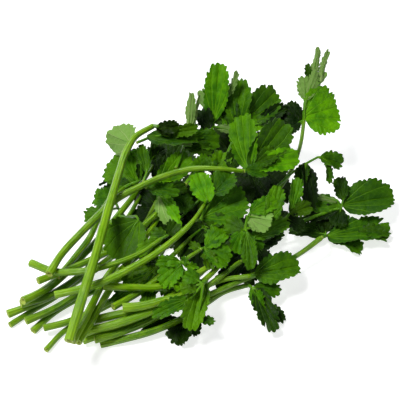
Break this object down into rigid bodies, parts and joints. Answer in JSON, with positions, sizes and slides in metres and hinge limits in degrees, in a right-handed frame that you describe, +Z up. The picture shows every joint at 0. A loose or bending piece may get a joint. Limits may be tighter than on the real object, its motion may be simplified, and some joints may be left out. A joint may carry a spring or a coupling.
{
  "type": "coriander bunch",
  "caption": "Loose bunch of flat-leaf coriander lying on its side, with long slender cut stems fanning into toothed, lobed compound leaves.",
  "frame": {"origin": "middle of the footprint's box on the resting surface", "axes": "+X from the cut stem ends to the leaf tips along the bunch, +Z up from the resting surface, +Y across the bunch"},
  "size_m": [0.2474, 0.1644, 0.0758],
  "materials": {
    "stem": "satin",
    "leaf": "satin",
    "leaf_pale": "satin"
  },
  "bodies": {
    "root": {"stem_01": "stem", "stem_02": "stem", "stem_03": "stem", "stem_04": "stem", "stem_05": "stem", "stem_06": "stem", "stem_07": "stem", "stem_08": "stem", "stem_09": "stem", "stem_10": "stem", "stem_11": "stem", "stem_12": "stem", "stem_13": "stem", "stem_14": "stem", "stem_15": "stem", "stem_16": "stem", "stem_17": "stem", "stem_18": "stem", "stem_19": "stem", "stem_20": "stem", "stem_21": "stem", "stem_22": "stem", "stem_23": "stem", "stem_24": "stem", "stem_25": "stem", "stem_26": "stem", "leaf_01": "leaf", "leaf_02": "leaf", "leaf_03": "leaf_pale", "leaf_04": "leaf", "leaf_05": "leaf", "leaf_06": "leaf", "leaf_07": "leaf", "leaf_08": "leaf", "leaf_09": "leaf", "leaf_10": "leaf", "leaf_11": "leaf", "leaf_12": "leaf", "leaf_13": "leaf", "leaf_14": "leaf_pale", "leaf_15": "leaf", "leaf_16": "leaf_pale", "leaf_17": "leaf", "leaf_18": "leaf", "leaf_19": "leaf", "leaf_20": "leaf", "leaf_21": "leaf", "leaf_22": "leaf", "leaf_23": "leaf", "leaf_24": "leaf", "leaf_25": "leaf", "leaf_26": "leaf", "leaf_27": "leaf", "leaf_28": "leaf", "leaf_29": "leaf", "leaf_30": "leaf", "leaf_31": "leaf", "leaf_32": "leaf", "leaf_33": "leaf", "leaf_34": "leaf"}
  },
  "joints": []
}
